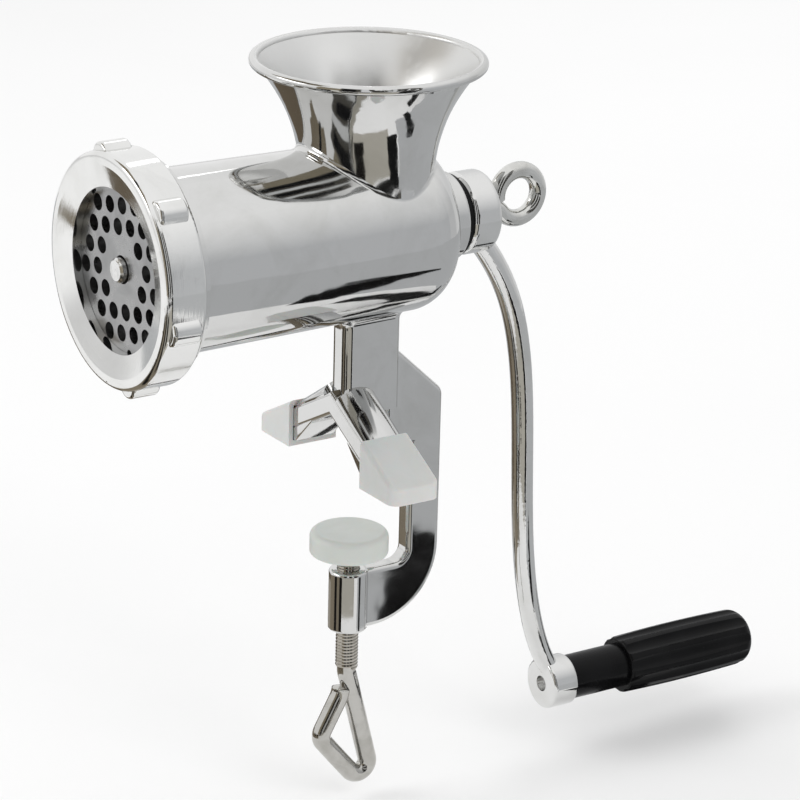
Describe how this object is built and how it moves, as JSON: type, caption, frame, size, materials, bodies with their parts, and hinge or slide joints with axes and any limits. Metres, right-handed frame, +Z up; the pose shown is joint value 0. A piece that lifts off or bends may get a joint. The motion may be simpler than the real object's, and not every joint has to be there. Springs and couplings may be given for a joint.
{
  "type": "hand crank meat grinder",
  "caption": "Table clamp meat grinder: a hopper over a barrel with a worm, knife and perforated plate under a ring nut, turned by a curved crank with a fluted grip.",
  "frame": {"origin": "on the clamp screw's axis, level with the undersides of the two foot caps, where the table top lies", "axes": "+Z up, the outlet faces -Y, the crank is behind at +Y, +X to the right seen from the front"},
  "size_m": [0.092, 0.2831, 0.2782],
  "materials": {
    "polished_steel": "mirror polished stainless steel",
    "worm_steel": "satin cast steel",
    "cutter_steel": "ground tool steel",
    "bright_steel": "turned bright steel",
    "rod_steel": "polished bent rod",
    "white_plastic": "soft white moulded plastic",
    "bearing_plastic": "natural nylon",
    "black_plastic": "semi gloss black moulded plastic"
  },
  "bodies": {
    "frame": {"body_casting": "polished_steel", "rear_bush": "black_plastic", "thrust_washer": "bearing_plastic", "plate_key_pin": "bright_steel", "foot_cap_left": "white_plastic", "foot_cap_right": "white_plastic"},
    "drive": {"auger": "worm_steel", "auger_stud": "bright_steel", "knife": "cutter_steel", "crank_arm": "polished_steel", "grip_axle": "bright_steel", "axle_washer": "bright_steel"},
    "hand_grip": {"grip": "black_plastic"},
    "screw_washer": {"eye_washer": "bright_steel"},
    "fixing_screw": {"eye_screw": "rod_steel"},
    "outlet_plate": {"grinding_plate": "cutter_steel"},
    "front_ring": {"ring_nut": "polished_steel"},
    "swivel_pad": {"clamp_pad": "white_plastic", "clamp_disc": "bright_steel"},
    "table_screw": {"clamp_screw": "rod_steel"}
  },
  "joints": [
    {"name": "crank_turn", "type": "hinge", "parent": "frame", "child": "drive", "pos_m": [0, 0, 0.0872], "axis": [0, -1, 0], "continuous": true},
    {"name": "grip_spin", "type": "hinge", "parent": "drive", "child": "hand_grip", "pos_m": [0, 0.14, -0.1068], "axis": [0, -1, 0], "continuous": true},
    {"name": "washer_travel", "type": "slide", "parent": "drive", "child": "screw_washer", "axis": [0, 1, 0], "range_m": [0, 0.0085]},
    {"name": "eye_screw_turn", "type": "hinge", "parent": "screw_washer", "child": "fixing_screw", "pos_m": [0, 0.054, 0.0872], "axis": [0, 1, 0], "range_deg": [0, 3060]},
    {"name": "plate_travel", "type": "slide", "parent": "frame", "child": "outlet_plate", "axis": [0, -1, 0], "range_m": [0, 0.00825]},
    {"name": "ring_nut_turn", "type": "hinge", "parent": "outlet_plate", "child": "front_ring", "pos_m": [0, -0.091, 0.0872], "axis": [0, -1, 0], "range_deg": [0, 990]},
    {"name": "pad_travel", "type": "slide", "parent": "frame", "child": "swivel_pad", "axis": [0, 0, 1], "range_m": [-0.005, 0.01625]},
    {"name": "clamp_screw_turn", "type": "hinge", "parent": "swivel_pad", "child": "table_screw", "pos_m": [0, 0, -0.034], "axis": [0, 0, 1], "range_deg": [-1440, 4680]}
  ],
  "couplings": [
    {"joint": "washer_travel", "follows": "eye_screw_turn", "m_per_rad": 0.00015915},
    {"joint": "plate_travel", "follows": "ring_nut_turn", "m_per_rad": 0.00047746},
    {"joint": "clamp_screw_turn", "follows": "pad_travel", "rad_per_m": 5026.5}
  ]
}
